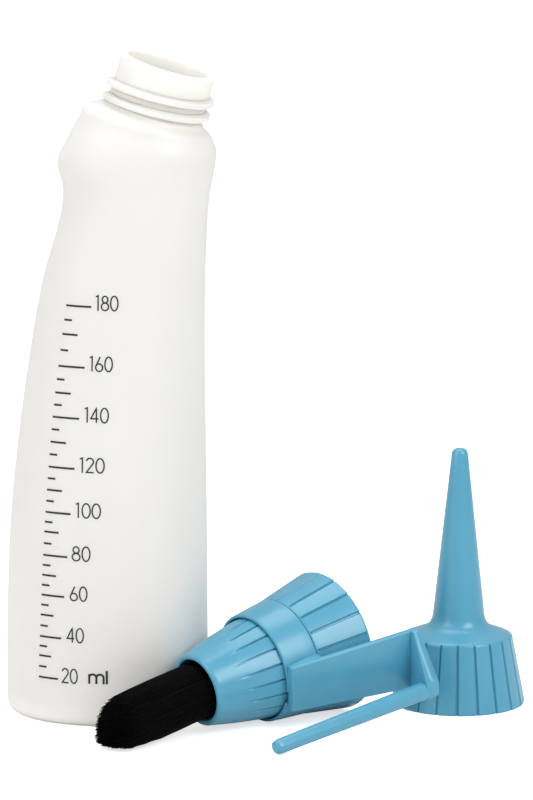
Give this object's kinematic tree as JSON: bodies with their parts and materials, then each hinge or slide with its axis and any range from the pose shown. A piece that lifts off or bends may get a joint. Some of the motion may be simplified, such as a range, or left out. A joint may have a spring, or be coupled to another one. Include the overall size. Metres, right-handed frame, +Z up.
{
  "type": "applicator bottle",
  "caption": "Bent frosted squeeze bottle laid out with its tall nozzle cap and its brush cap, which carries a black bristle tuft and a swivelling arm with a parting rod.",
  "frame": {"origin": "middle of the laid-out set's footprint, on the surface that the bottle and both caps stand or lie on", "axes": "+Z up; X runs along the set, from the bottle at -X to the standing nozzle cap at +X; the viewer's side, where the graduation is printed, faces -Y"},
  "size_m": [0.1358, 0.0764, 0.1722],
  "materials": {
    "bottle": "frosted translucent natural plastic",
    "graduation": "flat dark grey print",
    "nozzle_cap": "satin light blue moulding",
    "brush_cap": "satin light blue moulding",
    "parting_arm": "satin light blue moulding",
    "bristles": "dull black plastic bristles"
  },
  "bodies": {
    "set": {"bottle": "bottle", "nozzle_cap": "nozzle_cap", "brush_cap": "brush_cap", "bristle_plug": "brush_cap", "bristle_tuft": "bristles"},
    "arm": {"parting_arm": "parting_arm"}
  },
  "joints": [
    {"name": "collar_swivel", "type": "hinge", "parent": "set", "child": "arm", "pos_m": [0.01618, 0.01282, 0.01839], "axis": [-0.7791, -0.6043, -0.1668], "range_deg": [0, 105]}
  ]
}
